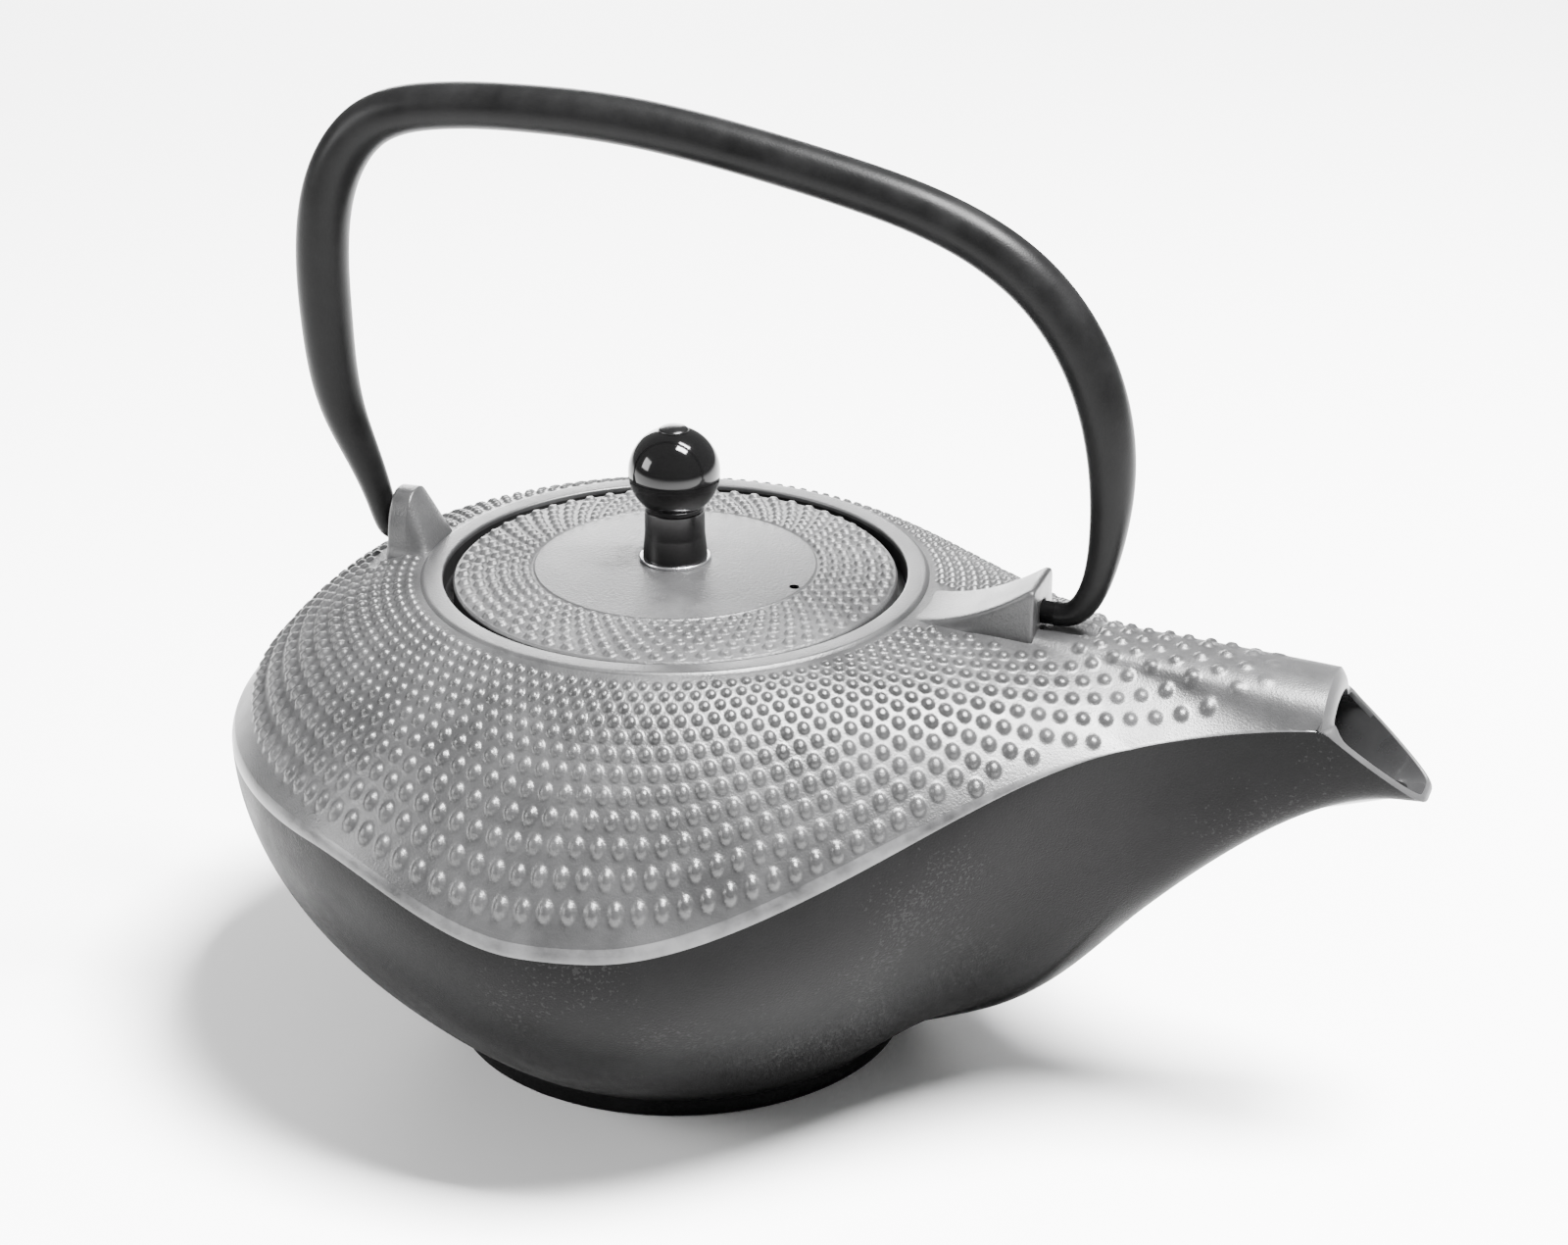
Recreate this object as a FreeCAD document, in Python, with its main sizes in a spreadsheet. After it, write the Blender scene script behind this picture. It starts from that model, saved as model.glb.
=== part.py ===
import FreeCAD, Part
import math
import os
import Sketcher

# Cast iron teapot with a swinging bail handle, a lid with a riveted knob and a lift-out infuser.
# Millimetres, +Z up, spout towards +X, origin in the middle of the base on the axis of the lid.

doc = FreeCAD.newDocument("teapot")
V = FreeCAD.Vector

# --------------------------------------------------------------------------- driving dimensions
sheet = doc.addObject("Spreadsheet::Sheet", "dims")
DIMS = [
    # body outline (plan view) and the sharp crease between upper shell and lower hull
    ("rear_length", 80.0), ("half_width", 77.0), ("mouth_half_width", 10.5),
    ("mouth_x", 118.0), ("nose_x", 150.0), ("crease_side_z", 50.0), ("crease_rear_rise", 9.4),
    ("crease_spout_rise", 24.5), ("crease_rear_run", 42.0), ("crease_spout_start", 12.0),
    ("crease_spout_run", 80.0), ("spout_end_x", 88.0), ("spout_slope", 0.1),
    # rim, foot, wall
    ("shoulder_radius", 45.0), ("shoulder_z", 86.5), ("rim_radius", 44.6), ("rim_z", 87.0),
    ("opening_radius", 41.0), ("throat_radius", 37.0), ("ledge_z", 82.6), ("neck_z", 79.6),
    ("hull_foot_radius", 42.0), ("hull_foot_z", 3.5), ("foot_radius", 41.5),
    ("groove_outer", 36.5), ("groove_inner", 33.0), ("groove_depth", 1.0),
    ("wall", 3.2), ("wall_side", 3.4), ("shoulder_wall", 1.0), ("foot_wall", 2.0), ("nose_wall", 4.0),
    ("floor_lift", 4.2), ("lip_lift", 2.5),
    # under the spout: bottom line, and how full each cross-section is
    ("keel_rise", 60.2), ("keel_run", 89.0), ("hull_blend_x", 45.0), ("hull_blend_run", 42.0),
    ("root_fullness", 1.55), ("spout_fullness", 4.5), ("fullness_x", 86.0), ("fullness_run", 36.0),
    # over the top: how straight the shell's slope is at the back, at the sides and over the spout
    ("slope_back", 0.10), ("slope_side", 0.25), ("slope_front", 0.25),
    # mouth
    ("lip_x", 136.0), ("lip_z", 63.0), ("mouth_corner_z", 77.5), ("mouth_lean", 0.8),
    ("corner_round", 1.6),
    # ears
    ("ear_half_width", 6.5), ("front_ear_x", 67.0), ("front_ear_z", 94.0), ("front_ear_foot_x", 44.0),
    ("rear_ear_x", -53.0), ("rear_ear_z", 96.4), ("rear_ear_foot_x", -43.6), ("ear_root_z", 82.0),
    ("front_ear_curve", 2.0), ("rear_ear_curve", 0.6), ("pivot_z", 88.0), ("peg_radius", 2.0),
    ("peg_hole_radius", 2.08), ("peg_hole_depth", 5.6), ("peg_reach", 5.0),
    ("scoop_radius", 3.4), ("scoop_length", 10.0),
    # lid
    ("lid_radius", 39.3), ("lid_seat_z", 83.2), ("lid_crown_z", 89.3), ("lid_dome_radius", 267.0),
    ("lid_wall", 3.3), ("skirt_outer", 33.8), ("skirt_inner", 31.0), ("skirt_z", 79.0),
    ("boss_radius", 6.6), ("boss_z", 89.15), ("under_boss_z", 85.6),
    ("vent_radius", 0.9), ("vent_x", 23.4), ("vent_y", -3.8),
    # knob
    ("bore_radius", 2.08), ("rivet_radius", 2.0), ("collar_radius", 6.3), ("collar_z", 89.7),
    ("stem_foot_radius", 5.75), ("stem_top_radius", 5.3), ("stem_top_z", 98.6),
    ("ball_radius", 8.1), ("ball_z", 105.5), ("ball_top_z", 113.2), ("rivet_top_z", 114.0),
    ("rivet_nub_radius", 2.7), ("washer_radius", 5.6), ("washer_z", 84.8), ("rivet_head_radius", 3.5),
    ("rivet_head_z", 83.6),
    # infuser
    ("flange_radius", 38.9), ("flange_z", 83.2), ("infuser_outer", 35.5), ("infuser_inner", 34.9),
    ("collar_low_z", 76.0), ("mesh_outer", 35.3), ("mesh_low_z", 44.0), ("hoop_lip_radius", 32.4),
    ("hoop_low_z", 41.0), ("hoop_lip_z", 41.6), ("floor_radius", 34.6), ("floor_top_z", 42.0),
]
# stations of the bail's centre line in the XZ plane, rear end to front end: x, z, diameter
BAIL = [
    (-53.6, 88.0, 4.3), (-54.6, 88.25, 4.4), (-55.5, 89.6, 4.6), (-56.5, 92.8, 5.0),
    (-59.5, 101.0, 6.2), (-63.1, 110.0, 7.8), (-65.4, 126.0, 9.2), (-65.3, 142.5, 9.4),
    (-62.4, 154.0, 9.2), (-55.0, 163.4, 8.7), (-42.5, 167.4, 8.2), (-26.0, 168.4, 8.2),
    (-8.0, 167.8, 8.4), (12.0, 164.9, 8.4), (32.0, 160.7, 8.4), (50.5, 155.0, 8.6),
    (63.3, 147.2, 8.9), (71.6, 137.2, 9.0), (76.6, 125.2, 8.8), (78.3, 113.0, 7.8),
    (77.9, 103.6, 6.4), (76.6, 96.0, 5.2), (74.9, 91.4, 4.7), (72.6, 88.7, 4.4),
    (70.6, 88.05, 4.3), (69.3, 88.0, 4.3),
]
for n, (alias, value) in enumerate(DIMS):
    sheet.set("A%d" % (n + 1), alias)
    sheet.set("B%d" % (n + 1), str(value))
    sheet.setAlias("B%d" % (n + 1), alias)
for n, station in enumerate(BAIL):
    for column, name, value in zip("DEF", ("bail_x_%02d", "bail_z_%02d", "bail_d_%02d"), station):
        cell = "%s%d" % (column, n + 1)
        sheet.set(cell, str(value))
        sheet.setAlias(cell, name % (n + 1))
doc.recompute()


def dim(alias):
    return float(sheet.get(alias))


D = dict((alias, dim(alias)) for alias, _ in DIMS)


# --------------------------------------------------------------------------- helpers
def smooth(t):
    t = min(1.0, max(0.0, t))
    return t * t * (3.0 - 2.0 * t)


def bind(obj, **expressions):
    for prop, text in expressions.items():
        obj.setExpression(prop.replace("__", "."), text)


def cylinder(name, radius, low, high, at=None, along=None):
    """Cylinder bound to the sheet; low and high are heights (or x values when along is 'x')."""
    obj = doc.addObject("Part::Cylinder", name)
    bind(obj, Radius=radius, Height="(%s) - (%s)" % (high, low))
    if along == "x":
        obj.Placement = FreeCAD.Placement(V(), FreeCAD.Rotation(V(0, 1, 0), 90))
        bind(obj, Placement__Base__x=low, Placement__Base__z=at)
    else:
        bind(obj, Placement__Base__z=low)
        if at:
            bind(obj, Placement__Base__x=at[0], Placement__Base__y=at[1])
    return obj


def sphere(name, radius, centre_z):
    obj = doc.addObject("Part::Sphere", name)
    bind(obj, Radius=radius, Placement__Base__z=centre_z)
    return obj


def common(name, a, b):
    obj = doc.addObject("Part::Common", name)
    obj.Base, obj.Tool = a, b
    return obj


def cut(name, a, b):
    obj = doc.addObject("Part::Cut", name)
    obj.Base, obj.Tool = a, b
    return obj


def fuse(name, parts):
    obj = doc.addObject("Part::MultiFuse", name)
    obj.Shapes = parts
    return obj


def feature(name, shape):
    obj = doc.addObject("Part::Feature", name)
    obj.Shape = shape
    return obj


def revolved(name, outline):
    """PartDesign body: closed outline of (radius, height) expressions turned about Z."""
    body = doc.addObject("PartDesign::Body", name)
    sketch = body.newObject("Sketcher::SketchObject", name + "_profile")
    plane = [f for f in body.Origin.OriginFeatures if f.Role == "XZ_Plane"][0]
    sketch.AttachmentSupport = [(plane, "")]
    sketch.MapMode = "FlatFace"
    count = len(outline)
    values = [(evaluate(r), evaluate(z)) for r, z in outline]
    for i in range(count):
        a, b = values[i], values[(i + 1) % count]
        sketch.addGeometry(Part.LineSegment(V(a[0], a[1], 0), V(b[0], b[1], 0)), False)
    for i in range(count):
        sketch.addConstraint(Sketcher.Constraint("Coincident", i, 2, (i + 1) % count, 1))
    for i, (r, z) in enumerate(outline):
        if values[i][0] == 0.0:
            sketch.addConstraint(Sketcher.Constraint("PointOnObject", i, 1, -2))
        else:
            k = sketch.addConstraint(Sketcher.Constraint("DistanceX", -1, 1, i, 1, values[i][0]))
            sketch.setExpression("Constraints[%d]" % k, expression(r))
        k = sketch.addConstraint(Sketcher.Constraint("DistanceY", -1, 1, i, 1, values[i][1]))
        sketch.setExpression("Constraints[%d]" % k, expression(z))
    doc.recompute()
    turn = body.newObject("PartDesign::Revolution", name + "_turn")
    turn.Profile = sketch
    turn.ReferenceAxis = (sketch, ["V_Axis"])
    turn.Angle = 360.0
    body.Tip = turn
    doc.recompute()
    return body


def expression(term):
    return term if isinstance(term, str) else str(term)


def evaluate(term):
    if not isinstance(term, str):
        return float(term)
    total = 0.0
    for piece in term.replace(" - ", " + -").split(" + "):
        sign = -1.0 if piece.startswith("-") else 1.0
        piece = piece.lstrip("-").replace("dims.", "")
        total += sign * (D[piece] if piece in D else float(piece))
    return total


# --------------------------------------------------------------------------- body surfaces
class Form:
    """The pot's form: plan outline, crease height, and the two surfaces that meet at the crease."""

    def __init__(self, inner):
        self.side = D["wall_side"] if inner else 0.0
        drop = D["wall"] if inner else 0.0
        self.rear = D["rear_length"] - self.side
        self.half = D["half_width"] - self.side
        self.tip = D["mouth_half_width"] - (D["wall"] if inner else 0.0)
        self.nose = D["nose_x"] - (D["nose_wall"] if inner else 0.0)
        self.top_radius = D["shoulder_radius"] - (D["shoulder_wall"] if inner else 0.0)
        self.top_z = D["shoulder_z"] - drop
        self.low_radius = D["hull_foot_radius"] - (D["foot_wall"] if inner else 0.0)
        self.low_z = D["hull_foot_z"] + (D["floor_lift"] if inner else 0.0)
        self.keel = D["keel_rise"] - ((D["floor_lift"] - D["lip_lift"]) if inner else 0.0)

    def half_width(self, x):
        if x <= 0.0:
            return self.half * math.sqrt(max(0.0, 1.0 - (x / self.rear) ** 2))
        if x <= D["mouth_x"]:
            wave = 0.5 * (1.0 + math.cos(math.pi * x / D["mouth_x"]))
            return self.tip + (self.half - self.tip) * wave
        run = (x - D["mouth_x"]) / (self.nose - D["mouth_x"])
        return self.tip * math.sqrt(max(0.0, 1.0 - run ** 2))

    def crease_z(self, x):
        rear = D["crease_rear_rise"] * smooth(-x / D["crease_rear_run"])
        spout = D["crease_spout_rise"] * smooth((x - D["crease_spout_start"]) / D["crease_spout_run"])
        return D["crease_side_z"] + rear + spout + D["spout_slope"] * max(0.0, x - D["spout_end_x"])

    def crease(self):
        """Points of the crease on the +Y side, from the rear end to the nose."""
        xs = [-self.rear * math.cos(0.5 * math.pi * i / 24.0) for i in range(25)]
        xs += [D["mouth_x"] * i / 26.0 for i in range(1, 27)]
        xs += [D["mouth_x"] + (self.nose - D["mouth_x"]) * math.sin(0.5 * math.pi * i / 8.0)
               for i in range(1, 9)]
        points = [V(x, self.half_width(x), self.crease_z(x)) for x in xs]
        points[0].y = points[-1].y = 0.0
        return points

    def upper(self, c, s):
        radius, turn = math.hypot(c.x, c.y), math.atan2(c.y, c.x)
        front = max(0.0, math.cos(turn)) ** 4
        k = D["slope_back"] + D["slope_side"] * abs(math.sin(turn)) ** 1.5
        k = k * (1.0 - front) + D["slope_front"] * front
        r = self.top_radius + (radius - self.top_radius) * s
        z = c.z + (self.top_z - c.z) * (1.0 - (1.0 - k) * s * s - k * s)
        return V(r * math.cos(turn), r * math.sin(turn), z)

    def keel_z(self, x):
        """Height of the bottom line under the spout: belly, then a long hollow curve to the lip."""
        rise = self.keel * smooth((x - self.low_radius) / D["keel_run"])
        tip = max(0.0, (x - D["lip_x"]) / (self.nose - D["lip_x"]))
        return self.low_z + rise + (self.crease_z(self.nose) - self.low_z - self.keel) * min(1.0, tip) ** 2

    def lower(self, c, q):
        radius, turn = math.hypot(c.x, c.y), math.atan2(c.y, c.x)
        rho = 1.0 - q * q
        r = self.low_radius + (radius - self.low_radius) * rho
        x, y = r * math.cos(turn), r * math.sin(turn)
        bowl = self.low_z + (c.z - self.low_z) * (1.0 - math.sqrt(max(0.0, 1.0 - rho)))
        # 0 round the bowl, 1 under the spout
        spout = smooth((x - D["hull_blend_x"]) / D["hull_blend_run"])
        if spout == 0.0:
            return V(x, y, bowl)
        width = self.half_width(min(x, self.nose))
        across = min(1.0, abs(y) / width) if width > 1e-6 else 1.0
        along = smooth((x - D["fullness_x"]) / D["fullness_run"])
        fullness = D["root_fullness"] + (D["spout_fullness"] - D["root_fullness"]) * along
        keel = self.keel_z(x)
        section = keel + (self.crease_z(x) - keel) * across ** fullness
        return V(x, y, (1.0 - spout) * bowl + spout * section)


def skin(rows):
    """Surface closed around the pot whose control net is the given rows of points (open along Z)."""
    columns = [list(col) for col in zip(*rows)]          # u runs around, v runs down
    around, down = len(columns), len(rows)
    surface = Part.BSplineSurface()
    surface.buildFromPolesMultsKnots(
        columns,
        [1] * (around + 1), [4] + [1] * (down - 4) + [4],
        [float(i) for i in range(around + 1)], [float(i) for i in range(down - 2)],
        True, False, 3, 3)
    return surface


def ring(form, function, t):
    half = [function(c, t) for c in form.crease()]
    mirrored = [V(p.x, -p.y, p.z) for p in half[1:-1]]
    return half + mirrored[::-1]


def flat_at(edge, level):
    ends = (edge.FirstParameter, edge.LastParameter, 0.37 * edge.LastParameter)
    return all(abs(edge.valueAt(u).z - level) < 1e-6 for u in ends)


def closed_form(inner):
    form = Form(inner)
    top_rows = [ring(form, form.upper, i / 10.0) for i in range(11)]
    low_rows = [ring(form, form.lower, i / 12.0) for i in range(13)]
    faces = []
    for rows in (top_rows, low_rows):
        faces.append(skin(rows).toShape().Faces[0])
    for face, level in ((faces[0], form.top_z), (faces[1], form.low_z)):
        edges = [e for e in face.Edges if flat_at(e, level)]
        faces.append(Part.Face(Part.Wire(edges)))
    shell = Part.makeShell(faces)
    shell.sewShape()
    solid = Part.makeSolid(shell if isinstance(shell, Part.Shell) else shell.Shells[0])
    if solid.Volume < 0:
        solid.reverse()
    return solid


def extruded(points, direction):
    face = Part.Face(Part.makePolygon(points + [points[0]]))
    return face.extrude(direction)


def ear(outer_x, peak_z, foot_x, curve):
    """Ear: sweep from the rim up to a peak, flat outer face, arched when seen along X."""
    side = 1.0 if outer_x > 0 else -1.0
    sweep = []
    for i in range(13):
        f = i / 12.0
        sweep.append(V(foot_x + (outer_x - side * 1.6 - foot_x) * f, -20.0,
                       D["rim_z"] - 0.6 + (peak_z - D["rim_z"] + 0.6) * f ** curve))
    profile = [V(foot_x, -20.0, D["ear_root_z"])] + sweep
    profile += [V(outer_x, -20.0, peak_z), V(outer_x, -20.0, D["ear_root_z"])]
    slab = extruded(profile, V(0, 40.0, 0))
    b = D["ear_half_width"]
    arch = []
    for i in range(19):
        a = math.pi * i / 18.0
        arch.append(V(0, b * math.cos(a) * (1.0 + 0.10 * (1 - math.sin(a))),
                      peak_z - b + b * math.sin(a)))
    arch = [V(0, b * 1.45, D["ear_root_z"])] + arch + [V(0, -b * 1.45, D["ear_root_z"])]
    shape = extruded([V(p.x - 80.0, p.y, p.z) for p in arch], V(200.0, 0, 0))
    return slab.common(shape)


def mouth_cutter():
    """Everything beyond the spout's mouth: upright face above the crease, sloping beak below it."""
    far = 60.0
    beak = V(D["lip_x"], 0, D["lip_z"]) - V(D["mouth_x"], 0, D["mouth_corner_z"])
    low = V(D["mouth_x"], 0, D["mouth_corner_z"]) + beak * 2.2
    points = [V(D["mouth_x"] - D["mouth_lean"], -30, 110),
              V(D["mouth_x"], -30, D["mouth_corner_z"] + D["corner_round"]),
              V(D["mouth_x"] + D["corner_round"], -30, D["mouth_corner_z"] - D["corner_round"]),
              V(low.x, -30, low.z), V(D["mouth_x"] + far, -30, low.z), V(D["mouth_x"] + far, -30, 110)]
    return extruded(points, V(0, 60, 0))


outer = closed_form(False)
hollow = closed_form(True)
neck = Part.makeCylinder(D["shoulder_radius"] + 2.0, 12.0, V(0, 0, D["neck_z"])).cut(
    Part.makeCylinder(D["throat_radius"], 14.0, V(0, 0, D["neck_z"] - 1.0)))
foot = Part.makeCylinder(D["foot_radius"], D["hull_foot_z"] + 2.0)
rim = Part.makeCone(D["rim_radius"], D["rim_radius"] - 0.5, 2.0, V(0, 0, D["rim_z"] - 2.0))
front_ear = ear(D["front_ear_x"], D["front_ear_z"], D["front_ear_foot_x"], D["front_ear_curve"])
rear_ear = ear(D["rear_ear_x"], D["rear_ear_z"], D["rear_ear_foot_x"], D["rear_ear_curve"])
skin_solid = outer.fuse([foot, rim, front_ear, rear_ear])
skin_solid = skin_solid.cut(mouth_cutter())
pot = skin_solid.cut(hollow.cut(neck))
casting = feature("casting", pot.removeSplitter())
doc.recompute()

throat = cylinder("throat", "dims.throat_radius", "dims.neck_z - 6", "dims.rim_z + 3")
opening = cylinder("opening", "dims.opening_radius", "dims.ledge_z", "dims.rim_z + 14")
groove = cut("foot_groove", cylinder("groove_disc", "dims.groove_outer", "-1", "dims.groove_depth"),
             cylinder("groove_core", "dims.groove_inner", "-2", "dims.groove_depth + 1"))
front_hole = cylinder("front_hole", "dims.peg_hole_radius", "dims.front_ear_x - dims.peg_hole_depth",
                      "dims.front_ear_x + 14", at="dims.pivot_z", along="x")
rear_hole = cylinder("rear_hole", "dims.peg_hole_radius", "dims.rear_ear_x - 14",
                     "dims.rear_ear_x + dims.peg_hole_depth", at="dims.pivot_z", along="x")
scoop = cylinder("scoop", "dims.scoop_radius", "dims.front_ear_x",
                 "dims.front_ear_x + dims.scoop_length", at="dims.pivot_z", along="x")
cuts = fuse("body_cuts", [throat, opening, groove, front_hole, rear_hole, scoop])
body = cut("body", casting, cuts)
doc.recompute()


# --------------------------------------------------------------------------- bail handle
RING = 12
# a cubic through-the-net circle falls inside its own control points by this factor
RING_SHRINK = (2.0 + math.cos(2.0 * math.pi / RING)) / 3.0


def bail_ring(point, tangent, radius):
    """Control points of one round section square to the centre line."""
    side = V(0, 1, 0)
    across = tangent.cross(side).normalize()
    reach = radius / RING_SHRINK
    turns = [2.0 * math.pi * i / RING for i in range(RING)]
    return [point + across * (reach * math.cos(a)) + side * (reach * math.sin(a)) for a in turns]


def bail_shape():
    stations = [tuple(dim(kind % (i + 1)) for kind in ("bail_x_%02d", "bail_z_%02d", "bail_d_%02d"))
                for i in range(len(BAIL))]
    curve = Part.BSplineCurve()
    curve.interpolate([V(x, 0, z) for x, z, _ in stations])
    at = [curve.parameter(V(x, 0, z)) for x, z, _ in stations]
    rows = []
    for i in range(len(stations) - 1):
        for f in (0.0, 0.5):
            u = at[i] + (at[i + 1] - at[i]) * f
            d = stations[i][2] + (stations[i + 1][2] - stations[i][2]) * f
            rows.append(bail_ring(curve.value(u), V(*curve.tangent(u)[0]), 0.5 * d))
    rows.append(bail_ring(curve.value(at[-1]), V(*curve.tangent(at[-1])[0]), 0.5 * stations[-1][2]))
    for row, x in ((rows[0], stations[0][0]), (rows[-1], stations[-1][0])):
        for p in row:
            p.x = x                                        # the two ends are flat and upright
    tube = skin(rows).toShape().Faces[0]
    caps = [Part.Face(Part.Wire([e for e in tube.Edges if upright_at(e, x)]))
            for x in (stations[0][0], stations[-1][0])]
    shell = Part.makeShell([tube] + caps)
    shell.sewShape()
    arch = Part.makeSolid(shell if isinstance(shell, Part.Shell) else shell.Shells[0])
    if arch.Volume < 0:
        arch.reverse()
    z, r = D["pivot_z"], D["peg_radius"]
    rear_in = D["rear_ear_x"] + D["peg_reach"]
    front_in = D["front_ear_x"] - D["peg_reach"]
    rear_peg = Part.makeCylinder(r, rear_in - stations[0][0] + 0.4, V(stations[0][0] - 0.4, 0, z), V(1, 0, 0))
    front_peg = Part.makeCylinder(r, stations[-1][0] - front_in + 0.4, V(front_in, 0, z), V(1, 0, 0))
    return arch.fuse([rear_peg, front_peg])


def upright_at(edge, x):
    ends = (edge.FirstParameter, edge.LastParameter, 0.37 * edge.LastParameter)
    return all(abs(edge.valueAt(u).x - x) < 1e-6 for u in ends)


handle = feature("handle", bail_shape())
doc.recompute()

# --------------------------------------------------------------------------- lid
blank = cylinder("lid_blank", "dims.lid_radius", "dims.lid_seat_z", "dims.lid_crown_z + 2")
dome = sphere("lid_dome", "dims.lid_dome_radius", "dims.lid_crown_z - dims.lid_dome_radius")
disc = common("lid_disc", blank, dome)
skirt = cylinder("lid_skirt", "dims.skirt_outer", "dims.skirt_z", "dims.lid_seat_z + 1")
under_blank = cylinder("lid_under_blank", "dims.skirt_inner", "dims.skirt_z - 4", "dims.lid_crown_z")
under_dome = sphere("lid_under_dome", "dims.lid_dome_radius - dims.lid_wall",
                    "dims.lid_crown_z - dims.lid_dome_radius")
under = common("lid_under", under_blank, under_dome)
under_boss = cylinder("lid_under_boss", "dims.boss_radius", "dims.under_boss_z", "dims.lid_crown_z")
spotface = cylinder("lid_spotface", "dims.boss_radius", "dims.boss_z", "dims.lid_crown_z + 3")
lid_bore = cylinder("lid_bore", "dims.bore_radius", "dims.skirt_z - 5", "dims.lid_crown_z + 4")
vent = cylinder("lid_vent", "dims.vent_radius", "dims.skirt_z - 5", "dims.lid_crown_z + 4",
                at=("dims.vent_x", "dims.vent_y"))
lid_solid = fuse("lid_solid", [disc, skirt])
lid_hollow = cut("lid_hollow", lid_solid, under)
lid_boss = fuse("lid_with_boss", [lid_hollow, under_boss])
lid = cut("lid", lid_boss, fuse("lid_cuts", [spotface, lid_bore, vent]))
doc.recompute()

# --------------------------------------------------------------------------- knob
knob_collar = revolved("knob_collar", [
    ("dims.bore_radius", "dims.boss_z"), ("dims.collar_radius", "dims.boss_z"),
    ("dims.collar_radius", "dims.collar_z"), ("dims.bore_radius", "dims.collar_z")])
knob_stem = revolved("knob_stem", [
    ("dims.bore_radius", "dims.collar_z"), ("dims.stem_foot_radius", "dims.collar_z"),
    ("dims.stem_top_radius", "dims.collar_z + 4"), ("dims.stem_top_radius", "dims.stem_top_z"),
    ("dims.bore_radius", "dims.stem_top_z")])
ball_round = sphere("ball_round", "dims.ball_radius", "dims.ball_z")
ball_slab = cylinder("ball_slab", "dims.ball_radius + 1", "dims.stem_top_z", "dims.ball_top_z")
ball_bore = cylinder("ball_bore", "dims.bore_radius", "dims.stem_top_z - 1", "dims.ball_top_z + 2")
knob_ball = cut("knob_ball", common("ball_body", ball_round, ball_slab), ball_bore)
knob_rivet = revolved("knob_rivet", [
    (0, "dims.rivet_head_z"), ("dims.rivet_head_radius - 0.6", "dims.rivet_head_z"),
    ("dims.rivet_head_radius", "dims.rivet_head_z + 0.5"), ("dims.rivet_head_radius", "dims.washer_z"),
    ("dims.rivet_radius", "dims.washer_z"), ("dims.rivet_radius", "dims.ball_top_z"),
    ("dims.rivet_nub_radius", "dims.ball_top_z"), ("dims.rivet_nub_radius - 0.8", "dims.rivet_top_z - 0.2"),
    ("dims.rivet_nub_radius - 1.6", "dims.rivet_top_z"), (0, "dims.rivet_top_z")])
knob_washer = revolved("knob_washer", [
    ("dims.bore_radius", "dims.washer_z"), ("dims.washer_radius", "dims.washer_z"),
    ("dims.washer_radius", "dims.under_boss_z"), ("dims.bore_radius", "dims.under_boss_z")])

# --------------------------------------------------------------------------- infuser
infuser_rim = revolved("infuser_rim", [
    ("dims.infuser_inner", "dims.collar_low_z"), ("dims.infuser_outer", "dims.collar_low_z"),
    ("dims.infuser_outer", "dims.ledge_z"), ("dims.flange_radius", "dims.ledge_z"),
    ("dims.flange_radius", "dims.flange_z"), ("dims.infuser_inner", "dims.flange_z")])
infuser_mesh = revolved("infuser_mesh", [
    ("dims.infuser_inner", "dims.mesh_low_z"), ("dims.mesh_outer", "dims.mesh_low_z"),
    ("dims.mesh_outer", "dims.collar_low_z"), ("dims.infuser_inner", "dims.collar_low_z")])
infuser_hoop = revolved("infuser_hoop", [
    ("dims.hoop_lip_radius", "dims.hoop_low_z"), ("dims.infuser_outer", "dims.hoop_low_z"),
    ("dims.infuser_outer", "dims.mesh_low_z"), ("dims.infuser_inner", "dims.mesh_low_z"),
    ("dims.infuser_inner", "dims.hoop_lip_z"), ("dims.hoop_lip_radius", "dims.hoop_lip_z")])
infuser_floor = revolved("infuser_floor", [
    (0, "dims.hoop_lip_z"), ("dims.floor_radius", "dims.hoop_lip_z"),
    ("dims.floor_radius", "dims.floor_top_z"), (0, "dims.floor_top_z")])
doc.recompute()

# --------------------------------------------------------------------------- export
PARTS = [
    ("body", body), ("handle", handle), ("lid", lid), ("knob_collar", knob_collar),
    ("knob_stem", knob_stem), ("knob_ball", knob_ball), ("knob_rivet", knob_rivet),
    ("knob_washer", knob_washer), ("infuser_rim", infuser_rim), ("infuser_mesh", infuser_mesh),
    ("infuser_hoop", infuser_hoop), ("infuser_floor", infuser_floor),
]
for obj in doc.Objects:
    if "Invalid" in obj.State or "Error" in obj.State:
        raise RuntimeError("%s did not recompute: %s" % (obj.Name, obj.State))
os.makedirs("parts", exist_ok=True)
for name, obj in PARTS:
    obj.Label = name
    shape = obj.Shape
    if shape.isNull() or not shape.isValid() or shape.Volume <= 0 or len(shape.Solids) != 1:
        raise RuntimeError("%s is not one sound solid (%d solids, volume %.1f)"
                           % (name, len(shape.Solids), shape.Volume))
    box = shape.optimalBoundingBox()
    print("%-14s volume %9.0f  x %7.2f %7.2f  y %7.2f %7.2f  z %7.2f %7.2f"
          % (name, shape.Volume, box.XMin, box.XMax, box.YMin, box.YMax, box.ZMin, box.ZMax))
    shape.exportStep("parts/%s.step" % name)
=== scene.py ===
import math

import bmesh
import bpy
import numpy as np
from mathutils import Matrix, Vector


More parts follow.
